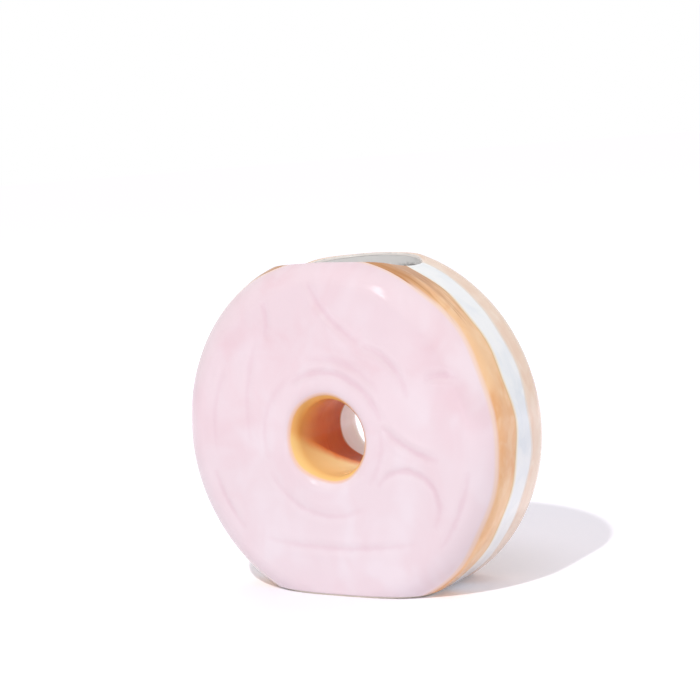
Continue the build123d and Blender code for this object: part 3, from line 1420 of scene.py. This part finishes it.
@dataclass
class CastBody:
    """The hollow cast ring and the glaze that lines its water space."""

    form: RingForm
    palette: Palette
    rim_band: float = 1.5
    rim_share: float = 1.1
    body_lowered: float = 3.2
    liner_lowered: float = 1.8
    merge_distance: float = 1e-6
    sharp_turn: float = math.radians(35)

    def softened(self, node: bpy.types.Object, name: str, lowered: float,
                 finish: bpy.types.Material) -> bpy.types.Mesh:
        """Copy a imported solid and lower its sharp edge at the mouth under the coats' rounded lip.

        Args:
            node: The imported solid's object.
            name: The piece's name.
            lowered: How far the edge is lowered, in millimetres.
            finish: The piece's material.

        Returns:
            The copy's mesh.
        """
        form = self.form
        mesh = node.data.copy()
        mesh.name = name
        work = bmesh.new()
        work.from_mesh(mesh)
        bmesh.ops.remove_doubles(work, verts=work.verts, dist=self.merge_distance)
        for vert in work.verts:
            x, y, z = vert.co / MM
            share = (abs(x) / form.mouth_half_width) ** form.mouth_power
            share += (abs(y) / form.mouth_half_depth) ** form.mouth_power
            if share > self.rim_share or z < form.centre_height:
                continue
            radius = math.hypot(x, z - form.centre_height)
            if form.rim_radius(abs(y)) - radius < self.rim_band:
                vert.co.z -= lowered * MM
        for face in work.faces:
            face.smooth = True
        work.to_mesh(mesh)
        work.free()
        mesh.materials.clear()
        mesh.materials.append(finish)
        mesh.set_sharp_from_angle(angle=self.sharp_turn)
        return mesh

    def build(self, nodes: dict[str, bpy.types.Object]) -> list[Piece]:
        """Make the body and its liner.

        Args:
            nodes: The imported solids' objects by name.

        Returns:
            The two pieces.
        """
        body = self.softened(nodes["ceramic_body"], "cast_body", self.body_lowered, self.palette.bisque)
        liner = self.softened(nodes["liner_glaze"], "liner_coat", self.liner_lowered, self.palette.liner)
        return [
            Piece("cast_body", "ceramic_body", "bisque", body),
            Piece("liner_coat", "liner_glaze", "white_liner", liner),
        ]


@dataclass(frozen=True)
class Lamp:
    """A studio lamp.

    Attributes:
        name: The lamp's name.
        azimuth: How far right of the ring's axis it stands, in degrees.
        elevation: How high it stands, in degrees.
        distance: How far it stands from the ring's middle, in metres.
        size: Its width and height in metres.
        share: How strongly it lights a surface that faces it, where 1 shows a colour as it is written.
        tilt: How far it leans to the right, in degrees.
        mirrored: Whether it is seen in the glaze as a highlight.
    """

    name: str
    azimuth: float
    elevation: float
    distance: float
    size: tuple[float, float]
    share: float
    tilt: float = 0.0
    mirrored: bool = True


@dataclass(frozen=True)
class Studio:
    """The floor, the light and the camera.

    Attributes:
        azimuth: How far right of the ring's axis the camera stands, in degrees.
        elevation: How far above the ring's middle it stands, in degrees.
        roll: How far it is tilted to the right, in degrees.
        distance: How far it stands from the ring's middle, in metres.
        picture: The picture's width in pixels.
        focal: The camera's focal length in those pixels.
        offset: Where the ring's middle lies in the picture, right of and below its centre, in pixels.
        sky_share: How strongly the sky lights a surface that faces it.
        foot_glow: How much light of its own the camera sees in the floor at the foot.
        near_glow: The same round the vase.
        far_glow: How much more of it there is further off.
        foot_reach: Between which distances the floor's own light first grows, in metres.
        glow_reach: Between which distances it grows further.
        floor_reach: How far the floor runs from the vase, in metres.
        floor_colour: The floor's colour.
        glow_colour: The colour of its own light.
        lamps: The lamps.
    """

    SENSOR: ClassVar[float] = 36.0
    NEAREST: ClassVar[float] = 0.05

    form: RingForm
    azimuth: float = 32.40
    elevation: float = 9.01
    roll: float = 4.75
    distance: float = 0.943
    picture: int = 700
    focal: float = 1783.6
    offset: tuple[float, float] = (11.9, 78.0)
    sky_share: float = 0.28
    foot_glow: float = 0.13
    near_glow: float = 0.335
    far_glow: float = 0.42
    foot_reach: tuple[float, float] = (0.05, 0.13)
    glow_reach: tuple[float, float] = (0.25, 0.9)
    floor_reach: float = 30.0
    floor_colour: Colour = (0.94, 0.92, 0.955)
    glow_colour: Colour = (1.0, 0.97, 1.1)
    lamps: tuple[Lamp, ...] = (
        Lamp("main_light", 7.5, 47.0, 2.4, (0.09, 0.09), 0.62, mirrored=False),
        Lamp("strip_light", -15.0, 31.0, 1.3, (0.08, 0.6), 0.035, tilt=15.0),
        Lamp("side_fill", 114.0, 12.0, 1.3, (1.1, 0.5), 0.27, mirrored=False),
        Lamp("back_fill", 215.0, 32.0, 1.3, (1.1, 1.1), 0.25, mirrored=False),
    )

    @property
    def middle(self) -> Vector:
        """The ring's middle."""
        return Vector((0.0, 0.0, self.form.centre_height * MM))

    @staticmethod
    def direction(azimuth: float, elevation: float) -> Vector:
        """Return the direction to a place right of the ring's axis and above it, both in degrees."""
        turn, rise = math.radians(azimuth), math.radians(elevation)
        return Vector((math.sin(turn) * math.cos(rise), -math.cos(turn) * math.cos(rise), math.sin(rise)))

    def camera(self) -> None:
        """Place the camera where the photograph was taken from."""
        data = bpy.data.cameras.new("camera")
        data.sensor_width = self.SENSOR
        data.lens = self.SENSOR * self.focal / self.picture
        data.clip_start = self.NEAREST
        camera = placed("camera", data)
        back = self.direction(self.azimuth, self.elevation)
        facing = back.to_track_quat("Z", "Y").to_matrix().to_4x4()
        roll = Matrix.Rotation(math.radians(-self.roll), 4, "Z")
        pitch = Matrix.Rotation(math.atan2(self.offset[1], self.focal), 4, "X")
        yaw = Matrix.Rotation(math.atan2(self.offset[0], self.focal), 4, "Y")
        place = Matrix.Translation(self.middle + back * self.distance)
        camera.matrix_world = place @ facing @ roll @ pitch @ yaw
        bpy.context.scene.camera = camera

    def floor(self) -> None:
        """Lay a pale floor that the camera sees as white and that keeps the vase's shadow."""
        side = self.floor_reach
        corners = [(-side, -side, 0), (side, -side, 0), (side, side, 0), (-side, side, 0)]
        mesh = bpy.data.meshes.new("floor")
        mesh.from_pydata(corners, [], [range(len(corners))])
        floor = placed("floor", mesh)
        material = bpy.data.materials.new("white_floor")
        material.use_nodes = True
        tree = material.node_tree
        tree.nodes.clear()
        sketch = NodeSketch(tree)
        seen = self.seen(sketch)
        board = sketch.flow("ShaderNodeBsdfDiffuse", {"Color": (*self.floor_colour, 1.0)})
        place = sketch.flow("ShaderNodeTexCoord", {}, "Object")
        reach = sketch.flow("ShaderNodeVectorMath", {0: place}, "Value", operation="LENGTH")
        close = sketch.ramp(reach, *self.foot_reach, self.foot_glow, self.near_glow, smooth=True)
        strength = seen * (close + sketch.ramp(reach, *self.glow_reach, 0.0, self.far_glow, smooth=True))
        light = {"Color": (*self.glow_colour, 1.0), "Strength": strength}
        glow = sketch.flow("ShaderNodeEmission", light)
        total = sketch.flow("ShaderNodeAddShader", {0: board, 1: glow})
        ending = tree.nodes.new("ShaderNodeOutputMaterial")
        tree.links.new(total.socket, ending.inputs["Surface"])
        mesh.materials.append(material)

    @staticmethod
    def seen(sketch: NodeSketch) -> Flow:
        """Return 1 for what the camera sees, straight or in a reflection or through glass, and else 0."""
        rays = sketch.node("ShaderNodeLightPath", {})
        total = Flow(sketch, rays.outputs["Is Camera Ray"]) + Flow(sketch, rays.outputs["Is Glossy Ray"])
        total = total + Flow(sketch, rays.outputs["Is Transmission Ray"])
        return sketch.math("MINIMUM", total, 1.0)

    def lamp(self, lamp: Lamp) -> None:
        """Set up a lamp that faces the ring's middle.

        Args:
            lamp: The lamp's place, size and strength.
        """
        data = bpy.data.lights.new(lamp.name, "AREA")
        data.shape = "ELLIPSE"
        data.size, data.size_y = lamp.size
        data.energy = lamp.share * (math.pi * lamp.distance) ** 2
        obj = placed(lamp.name, data)
        toward = self.direction(lamp.azimuth, lamp.elevation)
        turned = toward.to_track_quat("Z", "Y").to_matrix().to_4x4()
        turned = turned @ Matrix.Rotation(math.radians(-lamp.tilt), 4, "Z")
        obj.matrix_world = Matrix.Translation(self.middle + toward * lamp.distance) @ turned
        obj.visible_glossy = lamp.mirrored

    def lights(self) -> None:
        """Set up the lamps and an even sky."""
        scene = bpy.context.scene
        for lamp in self.lamps:
            self.lamp(lamp)
        world = bpy.data.worlds.new("white_studio")
        scene.world = world
        world.use_nodes = True
        sketch = NodeSketch(world.node_tree)
        sky = world.node_tree.nodes["Background"]
        sky.inputs["Color"].default_value = (1.0, 1.0, 1.0, 1.0)
        strength = self.seen(sketch) * (1.0 - self.sky_share) + self.sky_share
        world.node_tree.links.new(strength.socket, sky.inputs["Strength"])

    def build(self) -> None:
        """Set up the whole studio."""
        self.camera()
        self.floor()
        self.lights()
        bpy.context.scene.view_settings.view_transform = "Standard"


def main() -> None:
    """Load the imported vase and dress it."""
    logging.basicConfig(level=logging.INFO, format="%(name)s: %(message)s")
    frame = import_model()
    form = RingForm()
    palette = Palette()
    pieces = CastBody(form, palette).build(frame["nodes"]) + GlazeCoats(form, palette).build()
    for piece in pieces:
        piece.show()
    Studio(form).build()


if __name__ == "__main__":
    main()
